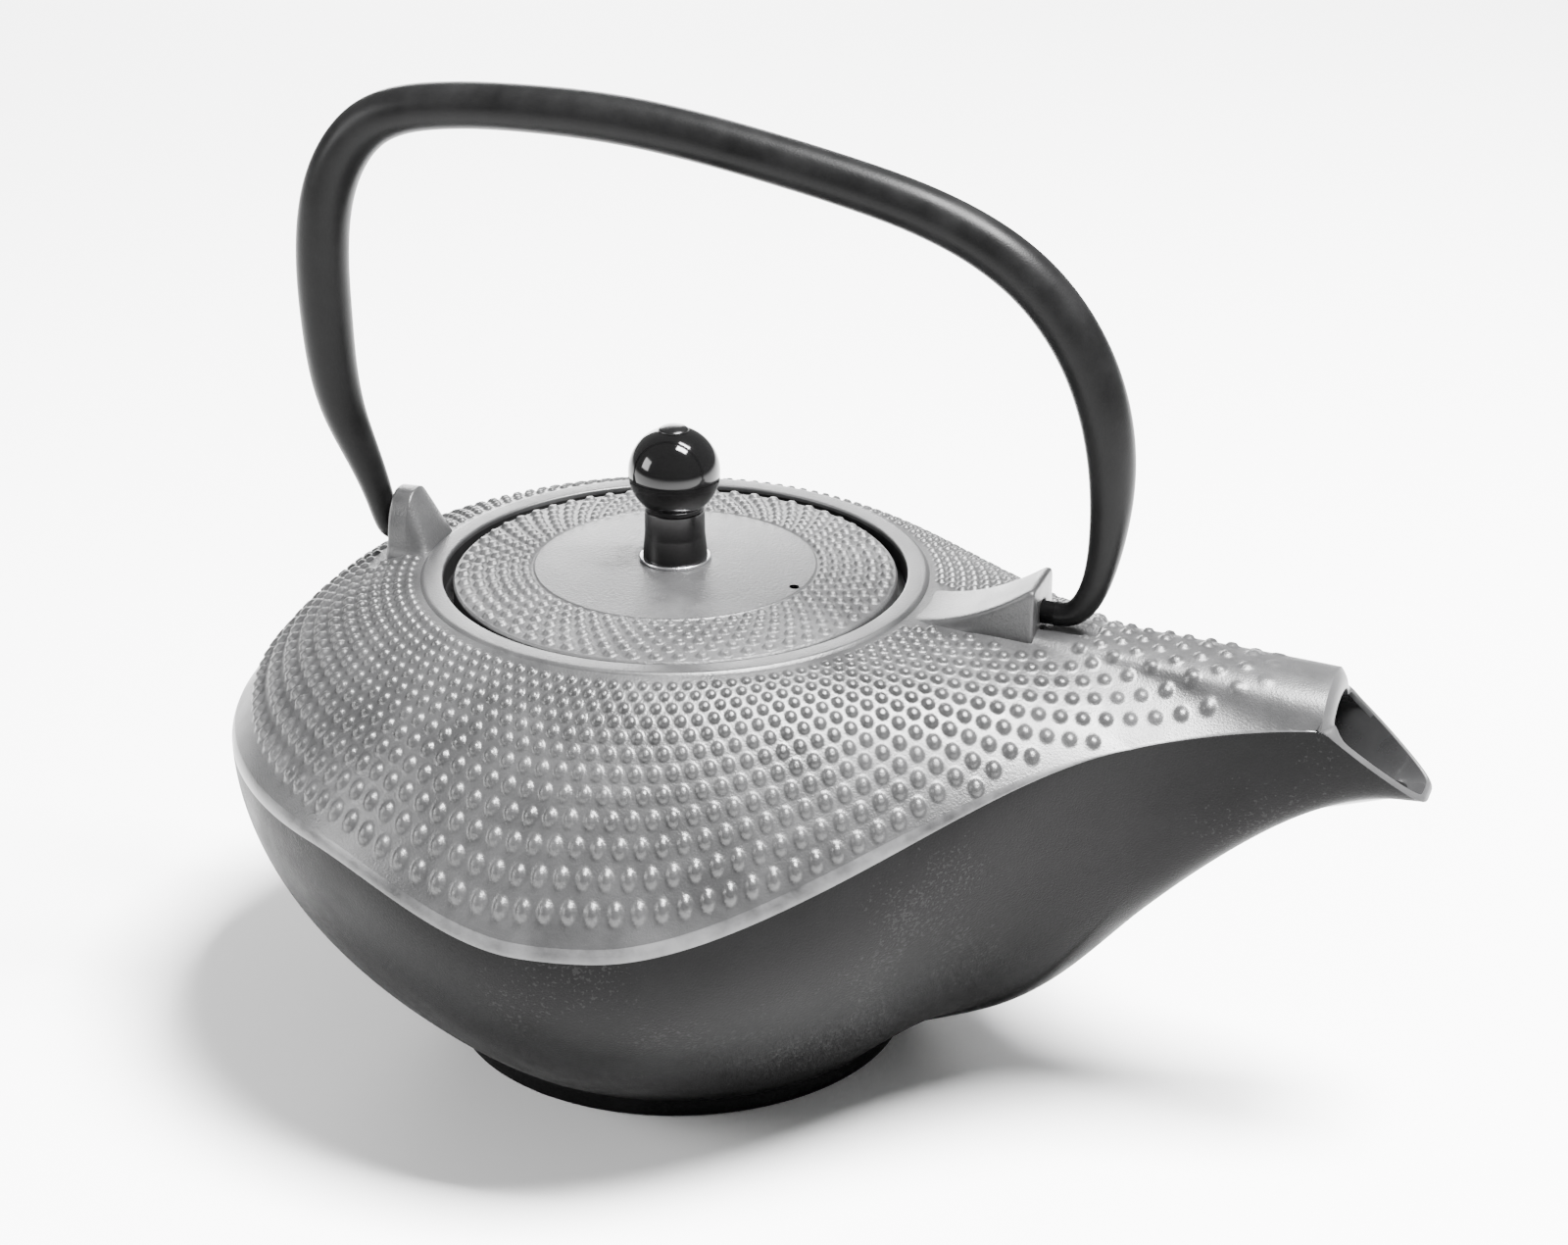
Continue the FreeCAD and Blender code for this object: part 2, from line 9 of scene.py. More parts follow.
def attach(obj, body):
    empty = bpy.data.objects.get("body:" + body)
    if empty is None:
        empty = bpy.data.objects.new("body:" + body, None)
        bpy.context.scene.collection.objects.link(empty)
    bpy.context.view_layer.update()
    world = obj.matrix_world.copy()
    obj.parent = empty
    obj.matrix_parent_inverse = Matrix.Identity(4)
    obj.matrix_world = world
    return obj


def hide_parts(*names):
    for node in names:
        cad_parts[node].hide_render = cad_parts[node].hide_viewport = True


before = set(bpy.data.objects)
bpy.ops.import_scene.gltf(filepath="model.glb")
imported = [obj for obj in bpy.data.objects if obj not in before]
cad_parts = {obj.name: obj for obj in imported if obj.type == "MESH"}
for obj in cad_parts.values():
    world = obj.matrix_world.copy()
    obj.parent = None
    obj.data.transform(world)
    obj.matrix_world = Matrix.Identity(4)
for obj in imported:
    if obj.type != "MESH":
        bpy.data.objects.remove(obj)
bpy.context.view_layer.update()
MM = 0.001
TAU = 2.0 * math.pi

# driving dimensions in millimetres, under the names that part.py's sheet gives them
D = {
    "rear_length": 80.0, "half_width": 77.0, "mouth_half_width": 10.5, "mouth_x": 118.0, "nose_x": 150.0,
    "crease_side_z": 50.0, "crease_rear_rise": 9.4, "crease_rear_run": 42.0, "crease_spout_rise": 24.5,
    "crease_spout_start": 12.0, "crease_spout_run": 80.0, "spout_end_x": 88.0, "spout_slope": 0.1,
    "shoulder_radius": 45.0, "shoulder_z": 86.5, "rim_z": 87.0, "opening_radius": 41.0, "throat_radius": 37.0,
    "ledge_z": 82.6, "neck_z": 79.6, "hull_foot_radius": 42.0, "hull_foot_z": 3.5, "foot_radius": 41.5,
    "groove_outer": 36.5, "groove_inner": 33.0, "groove_depth": 1.0, "wall": 3.2, "wall_side": 3.4,
    "shoulder_wall": 1.0, "foot_wall": 2.0, "nose_wall": 4.0, "floor_lift": 4.2, "lip_lift": 2.5,
    "keel_rise": 60.2, "keel_run": 89.0, "hull_blend_x": 45.0, "hull_blend_run": 42.0,
    "root_fullness": 1.55, "spout_fullness": 4.5, "fullness_x": 86.0, "fullness_run": 36.0,
    "slope_back": 0.10, "slope_side": 0.25, "slope_front": 0.25, "lip_x": 136.0, "lip_z": 63.0,
    "mouth_corner_z": 77.5, "front_ear_x": 67.0, "front_ear_z": 94.0, "rear_ear_x": -53.0, "pivot_z": 88.0,
    "peg_hole_radius": 2.08, "peg_hole_depth": 5.6, "scoop_radius": 3.4, "scoop_length": 10.0,
    "lid_radius": 39.3, "lid_seat_z": 83.2, "lid_crown_z": 89.3, "lid_dome_radius": 267.0,
    "skirt_outer": 33.8, "skirt_inner": 31.0, "skirt_z": 79.0, "boss_radius": 6.6, "boss_z": 89.15,
    "under_boss_z": 85.6, "vent_radius": 0.9, "vent_x": 23.4, "vent_y": -3.8, "bore_radius": 2.08,
    "collar_radius": 6.3, "collar_z": 89.7, "stem_foot_radius": 5.75, "stem_top_radius": 5.3,
    "stem_top_z": 98.6, "ball_radius": 8.1, "ball_z": 105.5, "ball_top_z": 113.2,
    "mesh_outer": 35.3, "mesh_low_z": 44.0, "collar_low_z": 76.0, "floor_top_z": 42.0,
}


# ------------------------------------------------------------------ camera
def make_camera():
    azimuth, elevation, distance = math.radians(18.5), math.radians(23.5975), 0.650
    back = Vector((math.sin(azimuth) * math.cos(elevation), -math.cos(azimuth) * math.cos(elevation),
                   math.sin(elevation)))
    right = Vector((math.cos(azimuth), math.sin(azimuth), 0.0))
    up = back.cross(right)
    rim_centre = Vector((0.0, 0.0, D["rim_z"] * MM))
    aim_right, aim_down = 0.01919, 0.00948
    target = rim_centre + right * aim_right - up * aim_down
    data = bpy.data.cameras.new("camera")
    data.sensor_width, data.lens, data.clip_start = 36.0, 84.42, 0.01
    cam = bpy.data.objects.new("camera", data)
    rotation = Matrix((right, up, back)).transposed().to_4x4()
    cam.matrix_world = Matrix.Translation(target + back * distance) @ rotation
    bpy.context.scene.collection.objects.link(cam)
    bpy.context.scene.camera = cam


make_camera()


# ------------------------------------------------------------------ mesh helpers
def mesh_object(name, verts, faces, smooth_faces=True):
    """Object from points in millimetres."""
    mesh = bpy.data.meshes.new(name)
    mesh.from_pydata((np.asarray(verts, float) * MM).tolist(), [], faces)
    mesh.validate()
    mesh.update()
    if smooth_faces:
        mesh.shade_smooth()
    obj = bpy.data.objects.new(name, mesh)
    bpy.context.scene.collection.objects.link(obj)
    return obj


def grid_faces(rows, cols, closed=True, flip=False, offset=0):
    """Quads of a grid of rows x cols vertices; closed joins the last column to the first."""
    r = np.arange(rows - 1)[:, None]
    c = np.arange(cols if closed else cols - 1)[None, :]
    n = (c + 1) % cols
    a, b = r * cols + c, r * cols + n
    quads = np.stack([a, b, b + cols, a + cols], -1).reshape(-1, 4) + offset
    if flip:
        quads = quads[:, ::-1]
    return quads.tolist()


def lathe(name, profile, steps=192, flip=False):
    """Surface turned about Z from (radius, height) points; a radius of 0 closes on the axis."""
    prof = np.asarray(profile, float)
    a = np.arange(steps) * TAU / steps
    verts = np.stack([prof[:, :1] * np.cos(a), prof[:, :1] * np.sin(a), np.repeat(prof[:, 1:], steps, 1)], -1)
    obj = mesh_object(name, verts.reshape(-1, 3), grid_faces(len(prof), steps, flip=flip))
    weld(obj)
    return obj


def weld(obj, distance=1e-6):
    bm = bmesh.new()
    bm.from_mesh(obj.data)
    bmesh.ops.remove_doubles(bm, verts=bm.verts, dist=distance)
    bm.to_mesh(obj.data)
    bm.free()


def rounded(points, radius, steps=5, closed=True):
    """Profile with its corners rounded by quadratic arcs of about that radius."""
    pts = [np.asarray(p, float) for p in points]
    out, n = [], len(pts)
    for i, p in enumerate(pts):
        if not closed and i in (0, n - 1):
            out.append(p)
            continue
        a, b = pts[i - 1] - p, pts[(i + 1) % n] - p
        la, lb = np.linalg.norm(a), np.linalg.norm(b)
        ra, rb = min(radius, la * 0.45), min(radius, lb * 0.45)
        p0, p2 = p + a / la * ra, p + b / lb * rb
        for k in range(steps + 1):
            t = k / steps
            out.append((1 - t) ** 2 * p0 + 2 * t * (1 - t) * p + t * t * p2)
    return out


def closed_lathe(name, points, radius, steps=192):
    prof = rounded(points, radius, 4)
    return lathe(name, prof + [prof[0]], steps)


# ------------------------------------------------------------------ the pot's form (as in part.py)
def smooth(t):
    t = np.clip(t, 0.0, 1.0)
    return t * t * (3.0 - 2.0 * t)


MOUTH_X, CORNER_Z, LIP_X, LIP_Z = D["mouth_x"], D["mouth_corner_z"], D["lip_x"], D["lip_z"]
ARCH_X = 117.7                                   # where the studded shell hands over to the mouth's rim
PIVOT_Z, SCOOP_R = D["pivot_z"], D["scoop_radius"]
SCOOP_FROM, SCOOP_TO = D["front_ear_x"] - 0.6, D["front_ear_x"] + D["scoop_length"]


class Form:
    """The casting's outer or inner skin: a crease in plan and height, with a surface above and below it."""

    def __init__(self, inner):
        side = D["wall_side"] if inner else 0.0
        drop = D["wall"] if inner else 0.0
        self.rear, self.half = D["rear_length"] - side, D["half_width"] - side
        self.tip = D["mouth_half_width"] - drop
        self.nose = D["nose_x"] - (D["nose_wall"] if inner else 0.0)
        self.top_radius = D["shoulder_radius"] - (D["shoulder_wall"] if inner else 0.0)
        self.top_z = D["shoulder_z"] - drop
        self.low_radius = D["hull_foot_radius"] - (D["foot_wall"] if inner else 0.0)
        self.low_z = D["hull_foot_z"] + (D["floor_lift"] if inner else 0.0)
        self.keel = D["keel_rise"] - (D["floor_lift"] - D["lip_lift"] if inner else 0.0)
        x = np.concatenate([-self.rear * np.cos(np.linspace(0, math.pi / 2, 1500)),
                            np.linspace(0, MOUTH_X, 2500)[1:],
                            MOUTH_X + (self.nose - MOUTH_X) * np.sin(np.linspace(0, math.pi / 2, 400)[1:])])
        y = self.width(x)
        y[0] = y[-1] = 0.0
        self.cx, self.cy, self.cz = x, y, self.crease_z(x)
        self.turns = np.arctan2(y, x)[::-1]
        self.reach, self.levels = np.hypot(x, y)[::-1], self.cz[::-1]

    def width(self, x):
        x = np.asarray(x, float)
        rear = self.half * np.sqrt(np.clip(1.0 - (x / self.rear) ** 2, 0, None))
        wave = 0.5 * (1.0 + np.cos(math.pi * np.clip(x / MOUTH_X, 0, 1)))
        front = self.tip + (self.half - self.tip) * wave
        nose = self.tip * np.sqrt(np.clip(1.0 - ((x - MOUTH_X) / (self.nose - MOUTH_X)) ** 2, 0, None))
        return np.where(x <= 0, rear, np.where(x <= MOUTH_X, front, nose))

    def crease_z(self, x):
        rear = D["crease_rear_rise"] * smooth(-x / D["crease_rear_run"])
        spout = D["crease_spout_rise"] * smooth((x - D["crease_spout_start"]) / D["crease_spout_run"])
        return D["crease_side_z"] + rear + spout + D["spout_slope"] * np.clip(x - D["spout_end_x"], 0, None)

    def crease(self, turn):
        a = np.abs((turn + math.pi) % TAU - math.pi)
        return np.interp(a, self.turns, self.reach), np.interp(a, self.turns, self.levels)

    def upper(self, turn, r):
        reach, level = self.crease(turn)
        s = (r - self.top_radius) / (reach - self.top_radius)
        front = np.clip(np.cos(turn), 0, None) ** 4
        around = D["slope_back"] + D["slope_side"] * np.abs(np.sin(turn)) ** 1.5
        k = around * (1.0 - front) + D["slope_front"] * front
        z = level + (self.top_z - level) * (1.0 - (1.0 - k) * s * s - k * s)
        return np.stack([r * np.cos(turn), r * np.sin(turn), z], -1)

    def lower(self, turn, q):
        reach, level = self.crease(turn)
        rho = 1.0 - q * q
        r = self.low_radius + (reach - self.low_radius) * rho
        x, y = r * np.cos(turn), r * np.sin(turn)
        bowl = self.low_z + (level - self.low_z) * (1.0 - np.sqrt(np.clip(1.0 - rho, 0, None)))
        spout = smooth((x - D["hull_blend_x"]) / D["hull_blend_run"])
        width = np.maximum(self.width(np.minimum(x, self.nose)), 1e-6)
        across = np.clip(np.abs(y) / width, 0, 1)
        gain = D["spout_fullness"] - D["root_fullness"]
        fullness = D["root_fullness"] + gain * smooth((x - D["fullness_x"]) / D["fullness_run"])
        rise = self.keel * smooth((x - self.low_radius) / D["keel_run"])
        tip = np.clip((x - LIP_X) / (self.nose - LIP_X), 0, 1)
        keel = self.low_z + rise + (self.crease_z(self.nose) - self.low_z - self.keel) * tip ** 2
        section = keel + (self.crease_z(x) - keel) * across ** fullness
        return np.stack([x, y, (1 - spout) * bowl + spout * section], -1)

    def upper_at(self, x, y):
        reach, _ = self.crease(np.arctan2(y, x))
        return self.upper(np.arctan2(y, x), np.minimum(np.hypot(x, y), reach))[..., 2]

    def lower_at(self, x, y):
        reach, _ = self.crease(np.arctan2(y, x))
        rho = np.clip((np.hypot(x, y) - self.low_radius) / (reach - self.low_radius), 0, 1)
        return self.lower(np.arctan2(y, x), np.sqrt(1.0 - rho))[..., 2]

    def normal(self, surface, turn, t, dt):
        a = surface(turn + 1e-4, t) - surface(turn - 1e-4, t)
        b = surface(turn, t + dt) - surface(turn, t - dt)
        n = np.cross(a, b)
        return n / np.maximum(np.linalg.norm(n, axis=-1, keepdims=True), 1e-12)


OUTER, INNER = Form(False), Form(True)


def beyond_beak(p):
    """How far a point lies past the mouth's faces (positive outside)."""
    slope = (LIP_X - MOUTH_X) / (CORNER_Z - LIP_Z)
    return p[..., 0] - (MOUTH_X + slope * np.clip(CORNER_Z - p[..., 2], 0, None))


def lower_start(form, turn, outside):
    """q at which each ray's lower surface comes inside the given limit (0 where it starts at the crease)."""
    q = np.linspace(0, 0.995, 1200)
    start = np.zeros(len(turn))
    for i, a in enumerate(turn):
        if np.cos(a) < 0.3:
            continue
        out = outside(form.lower(np.full_like(q, a), q))
        inside = np.nonzero(out < 0)[0]
        if len(inside) and inside[0] > 0:
            k = inside[0]
            start[i] = q[k - 1] + (q[k] - q[k - 1]) * out[k - 1] / (out[k - 1] - out[k])
    return start


def centred_turns(cols, straight):
    """Angles round the pot, closer together towards the spout."""
    half = np.linspace(0, 1, cols // 2 + 1)
    spread = (straight * half + (1 - straight) * half ** 2) * math.pi
    return np.concatenate([spread, -spread[1:-1][::-1]])


# ------------------------------------------------------------------ studs on the shell
AROUND, FIRST_ROW, LAST_BACK_ROW = 120, 47.0, 11
STUD_STEP = TAU / AROUND
STUD_WIDE, SPOUT_STUD_WIDE, STUD_HIGH = 0.35, 0.26, 0.21    # radius and height, as parts of the pitch


def row_ratio(turn):
    """Growth in radius from one row of studs to the next, along one ray."""
    a = np.degrees(np.abs((turn + math.pi) % TAU - math.pi))
    return 1.0425 - 0.006 * np.exp(-((a - 52.0) / 27.0) ** 2) - 0.0022 * smooth(1.0 - a / 40.0)


def stud_profile(d):
    """Height of a stud, 0 to 1, at a distance from its middle in stud radii: broad top, steep side."""
    return 1.0 - smooth((d - 0.48) / 0.52)


def stud_strengths(rows):
    """How much of each stud stands: none at the crease and the ears, less and less towards the mouth."""
    row, index = np.meshgrid(rows, np.arange(AROUND), indexing="ij")
    turn = (index + 0.5 * ((row + 1) % 2)) * STUD_STEP
    r = FIRST_ROW * row_ratio(turn) ** row
    x, y = r * np.cos(turn), r * np.sin(turn)
    a = np.degrees(np.abs((turn + math.pi) % TAU - math.pi))
    gap = np.empty(r.shape)
    for i in range(len(rows)):
        gap[i] = np.hypot(x[i][:, None] - OUTER.cx[::6], np.abs(y[i])[:, None] - OUTER.cy[::6]).min(1)
    keep = (row >= 0) & (r < OUTER.crease(turn)[0]) & (gap > 1.5 + 1.2 * smooth((a - 50.0) / 50.0))
    keep &= (row <= LAST_BACK_ROW) | (a < 60.0)
    keep &= ~((x > 40.0) & (x < 72.5) & (np.abs(y) < 8.6)) & ~((x < -42.0) & (x > -57.0) & (np.abs(y) < 7.6))
    return np.where(keep, 1.0 - smooth((x - 95.0) / 19.0), 0.0)


def build_shell():
    """Upper shell in four rings that meet between rows of studs."""
    cols, per_row = AROUND * 10, 9
    turn = np.arange(cols) * TAU / cols
    reach, _ = OUTER.crease(turn)
    limit = np.where(np.cos(turn) > 0.5, np.minimum(reach - 0.7, ARCH_X / np.maximum(np.cos(turn), 0.1)),
                     reach - 0.7)
    table_rows = np.arange(-3, 28)
    strengths = stud_strengths(table_rows)
    pieces = []
    for name, low, high in (("pot_shell_inner", -1.0, 3.5), ("pot_shell_middle", 3.5, 8.5),
                            ("pot_shell_outer", 8.5, 13.5), ("pot_shell_spout", 13.5, 25.5)):
        level = np.linspace(low, high, int((high - low) * per_row) + 1)
        k, t = np.meshgrid(level, turn, indexing="ij")
        r = np.where(k > 0, FIRST_ROW * row_ratio(t) ** k, FIRST_ROW + 2.1 * k)
        clamped = r >= limit
        r = np.minimum(r, limit)
        p = OUTER.upper(t, r)
        n = OUTER.normal(OUTER.upper, t, r, 1e-3)
        n = np.where(n[..., 2:] < 0, -n, n)
        row = np.clip(np.round(k), -3, 27).astype(int)
        shift = 0.5 * ((row + 1) % 2)
        index = np.round(t / STUD_STEP - shift).astype(int)
        ct = (index + shift) * STUD_STEP
        cr = FIRST_ROW * row_ratio(ct) ** row
        gap = p - OUTER.upper(ct, cr)
        gap[..., 2] *= 0.5
        pitch = cr * STUD_STEP
        spout = smooth((cr * np.cos(ct) - 58.0) / 30.0)
        wide = (STUD_WIDE + (SPOUT_STUD_WIDE - STUD_WIDE) * spout) * pitch
        lift = stud_profile(np.linalg.norm(gap, axis=-1) / wide) * STUD_HIGH * pitch * (1.0 - 0.4 * spout)
        lift = lift * strengths[row + 3, index % AROUND] * smooth((limit - r) / 0.5)
        p = p + n * lift[..., None]
        x, y = p[..., 0], p[..., 1]
        hollow = PIVOT_Z - np.sqrt(np.clip(SCOOP_R ** 2 - y ** 2, 0, None))
        near = (x > SCOOP_FROM) & (x < SCOOP_TO) & (np.abs(y) < SCOOP_R)
        p[..., 2] = np.where(near, np.minimum(p[..., 2], hollow), p[..., 2])
        ids = np.arange(p.shape[0] * cols).reshape(p.shape[0], cols)
        nxt = (np.arange(cols) + 1) % cols
        dead = clamped[:-1] & clamped[:-1][:, nxt]
        quads = np.stack([ids[:-1], ids[:-1][:, nxt], ids[1:][:, nxt], ids[1:]], -1)[~dead]
        used = np.zeros(ids.size, bool)
        used[quads.ravel()] = True
        obj = mesh_object(name, p.reshape(-1, 3)[used], (np.cumsum(used) - 1)[quads].tolist())
        weld(obj, 2e-6)
        pieces.append(obj)
    return pieces


def build_lower():
    """Rounded crease as one strip, and the smooth hull under it down to the foot."""
    turn = centred_turns(900, 0.3)
    cols = len(turn)
    start = lower_start(OUTER, turn, beyond_beak)
    mouth = (start > 0)[:, None]
    reach, level = OUTER.crease(turn)
    crease = np.stack([reach * np.cos(turn), reach * np.sin(turn), level], -1)
    above, q_low = OUTER.upper(turn, reach - 1.1), 0.024
    below = OUTER.lower(turn, np.full(cols, q_low))
    edge = OUTER.lower(turn, np.maximum(start, 1e-6))
    strip = []
    for t in np.linspace(0, 1, 10):
        layer = (1 - t) ** 2 * above + 2 * t * (1 - t) * crease + t * t * below
        strip.append(np.where(mouth, edge, layer))
    ridge = mesh_object("pot_crease_edge", np.array(strip).reshape(-1, 3),
                        grid_faces(len(strip), cols, flip=True))
    weld(ridge, 2e-6)
    q0 = np.where(start > 0, start, q_low)
    layers = [strip[-1]] + [OUTER.lower(turn, q0 + (1 - q0) * t) for t in np.linspace(0, 1, 100)[1:]]
    hull = mesh_object("pot_lower_hull", np.array(layers).reshape(-1, 3),
                       grid_faces(len(layers), cols, flip=True))
    weld(hull, 2e-6)
    return ridge, hull


# ------------------------------------------------------------------ mouth, spout channel, inside
ARCH_POINTS, BEAK_POINTS = 72, 150


def resample(points, count):
    d = np.concatenate([[0], np.cumsum(np.linalg.norm(np.diff(points, axis=0), axis=1))])
    u = np.linspace(0, d[-1], count)
    return np.stack([np.interp(u, d, points[:, i]) for i in range(3)], -1)


def mouth_loop():
    """Closed outline of the mouth: over the arch from -Y to +Y, then round the beak and back."""
    w = float(OUTER.width(ARCH_X)) - 0.02
    y = -w * np.cos(np.linspace(0, math.pi, 300))
    arch = np.stack([np.full_like(y, ARCH_X), y, OUTER.upper_at(np.full_like(y, ARCH_X), y)], -1)
    a = math.atan2(w, MOUTH_X) * 0.999
    turn = np.linspace(a, -a, 400)
    beak = OUTER.lower(turn, np.maximum(lower_start(OUTER, turn, beyond_beak), 1e-6))
    return np.concatenate([resample(arch, ARCH_POINTS), resample(beak, BEAK_POINTS)[1:-1]])


def mouth_frame(loop):
    """Directions out of the mouth and inward across its rim, at each point of the outline."""
    ahead = np.roll(loop, -1, 0) - np.roll(loop, 1, 0)
    blend = smooth((79.5 - loop[:, 2]) / 5.5)[:, None]
    face = np.array([[1.0, 0, 0]]) * (1 - blend) + np.array([[0.627, 0, 0.779]]) * blend
    face /= np.linalg.norm(face, axis=1, keepdims=True)
    inward = np.cross(ahead, face)
    inward /= np.linalg.norm(inward, axis=1, keepdims=True)
    return face, inward


def build_mouth():
    """Rounded rim of the mouth, and the enamelled channel behind it back to the pot's inside."""
    loop = mouth_loop()
    face, inward = mouth_frame(loop)
    arch = smooth((loop[:, 2] - 74.5) / 4.0)[:, None]
    side = (np.abs(loop[:, 1:2]) / D["mouth_half_width"]) ** 2
    inner = loop + inward * (1.25 + arch * (2.1 + 0.7 * side))
    for _ in range(14):
        inner = 0.25 * np.roll(inner, 1, 0) + 0.5 * inner + 0.25 * np.roll(inner, -1, 0)
    forward = 0.4 + 1.1 * arch
    layers = [loop + inward * 0.35 - face * (0.2 + 1.0 * arch), loop + inward * 0.05 - face * 0.1]
    for t in np.linspace(0, 1, 17):
        layers.append(loop * (1 - t) + inner * t + face * forward * (1.0 - (1.0 - t) ** 2.2))
    layers.append(inner + inward * 0.15 + face * (forward - 0.3))
    layers.append(inner + inward * 0.25 + face * (forward - 1.0))
    rim = mesh_object("spout_mouth_rim", np.array(layers).reshape(-1, 3), grid_faces(len(layers), len(loop)))

    back = layers[-2]
    is_arch = np.arange(len(loop)) < ARCH_POINTS
    across = np.concatenate([-np.cos(np.linspace(0, math.pi, ARCH_POINTS)),
                             np.cos(np.linspace(0, math.pi, BEAK_POINTS))[1:-1]])

    def skin(x, y):
        return np.where(is_arch, INNER.upper_at(x, y), INNER.lower_at(x, y))

    first = 104.0
    y1 = across * float(INNER.width(first))
    section = np.stack([np.full(len(loop), first), y1, skin(np.full(len(loop), first), y1)], -1)
    rings = [back * (1 - t) + section * t for t in np.linspace(0, 1, 12)]
    for x0 in np.linspace(first, 61.5, 22)[1:]:
        x, y = np.full(len(loop), x0), across * float(INNER.width(x0))
        rings.append(np.stack([x, y, skin(x, y)], -1))
    channel = mesh_object("spout_channel", np.array(rings).reshape(-1, 3), grid_faces(len(rings), len(loop)))
    return rim, channel


def build_lining():
    """Enamelled inside of the pot from the throat to the floor, open where the spout leaves it."""
    turn = centred_turns(480, 0.4)
    cols, root = len(turn), 62.0
    reach, _ = INNER.crease(turn)
    limit = np.where(np.cos(turn) > 0.3, np.minimum(reach, root / np.maximum(np.cos(turn), 0.1)), reach)
    throat, shoulder = D["throat_radius"], INNER.top_radius
    layers = [np.stack([throat * np.cos(turn), throat * np.sin(turn), np.full(cols, D["neck_z"])], -1)]
    for t in np.linspace(0.06, 1, 40):
        layers.append(INNER.upper(turn, np.minimum(shoulder + (limit - shoulder) * t, reach - 1e-4)))
    start = lower_start(INNER, turn, lambda p: p[..., 0] - root)
    below = [INNER.lower(turn, np.maximum(start + (1 - start) * t, 1e-6)) for t in np.linspace(0, 1, 50)]
    below.append(np.repeat([[0.0, 0.0, INNER.low_z]], cols, 0))
    top = mesh_object("lining_upper", np.array(layers).reshape(-1, 3), grid_faces(len(layers), cols))
    bowl = mesh_object("lining_bowl", np.array(below).reshape(-1, 3), grid_faces(len(below), cols))
    weld(bowl, 2e-6)
    return top, bowl


# ------------------------------------------------------------------ rim, foot, ears
def build_rim():
    top, hole = D["rim_z"], D["opening_radius"]
    points = [(45.4, top - 1.0), (44.8, top - 0.3), (44.4, top), (hole, top), (hole, top - 1.0)]
    return lathe("pot_rim", rounded(points, 0.45, 5, closed=False), 256, flip=True)


def build_ledge():
    hole, throat, ledge, neck = D["opening_radius"], D["throat_radius"], D["ledge_z"], D["neck_z"]
    points = [(hole, D["rim_z"] - 0.9), (hole, ledge), (throat, ledge), (throat, neck), (44.0, neck - 0.3)]
    return lathe("pot_lid_ledge", rounded(points, 0.3, 4, closed=False), 256, flip=True)


def build_foot():
    foot, outer, inner, deep = D["foot_radius"], D["groove_outer"], D["groove_inner"], D["groove_depth"]
    points = [(42.5, 4.1), (41.8, 3.3), (foot, 2.6), (foot, 0.0), (outer, 0.0), (outer, deep), (inner, deep),
              (inner, 0.0), (0.0, 0.0)]
    return lathe("pot_foot", rounded(points, 0.35, 4, closed=False), 256, flip=True)


def build_ear(name, foot_x, outer_x, peak_z, width_foot, width_top, power, curve, full_at):
    """Ear: sweep up to a peak, upright outer face with a round blind hole for the bail's peg."""
    side = 1.0 if outer_x > 0 else -1.0
    steps, across = 48, 81
    rows = []
    a = np.linspace(-1, 1, across) * math.pi / 2
    for i in range(steps + 1):
        f = i / steps
        x = foot_x + (outer_x - side * 0.5 - foot_x) * f
        crest = 86.4 + (peak_z - 86.4) * min(1.0, f / full_at) ** curve
        half = width_foot + (width_top - width_foot) * f ** 0.7
        yy = np.sign(np.sin(a)) * np.abs(np.sin(a)) ** (2 / power) * half
        shape = np.abs(np.cos(a)) ** (2 / power)
        base = 81.0
        foot = np.exp(-np.clip(base + (crest - base) * shape - 85.5, 0, None) / 0.9)
        flared, height = yy * (1.0 + 0.14 * foot), base + (crest - base) * shape
        rows.append(np.stack([np.full(across, x), flared, height], -1))
    last = rows[-1]
    for inset, forward in ((0.06, 0.22), (0.2, 0.4), (0.5, 0.5)):
        ring = last.copy()
        d = ring[:, 1:] - np.array([0.0, 86.0])
        ring[:, 1:] -= d / np.maximum(np.linalg.norm(d, axis=1, keepdims=True), 1e-6) * inset
        ring[:, 0] += side * forward
        rows.append(ring)
    pts = np.array(rows)
    faces = grid_faces(pts.shape[0], across, closed=False, flip=side < 0)
    edge = pts[-1]
    ang = np.unwrap(np.arctan2(edge[:, 2] - PIVOT_Z, edge[:, 1]))
    face_rows = [edge]
    hole, deep = D["peg_hole_radius"], -D["peg_hole_depth"]
    for r, dx in ((4.2, 0.0), (2.75, 0.0), (2.3, -0.05), (hole, -0.35), (hole, deep), (0.0, deep)):
        face_rows.append(np.stack([np.full(across, edge[0, 0] + side * dx), r * np.cos(ang),
                                   PIVOT_Z + r * np.sin(ang)], -1))
    faces += grid_faces(len(face_rows), across, closed=True, flip=side < 0, offset=pts.shape[0] * across)
    verts = np.concatenate([pts.reshape(-1, 3), np.array(face_rows).reshape(-1, 3)])
    obj = mesh_object(name, verts, faces)
    weld(obj, 2e-6)
    return obj


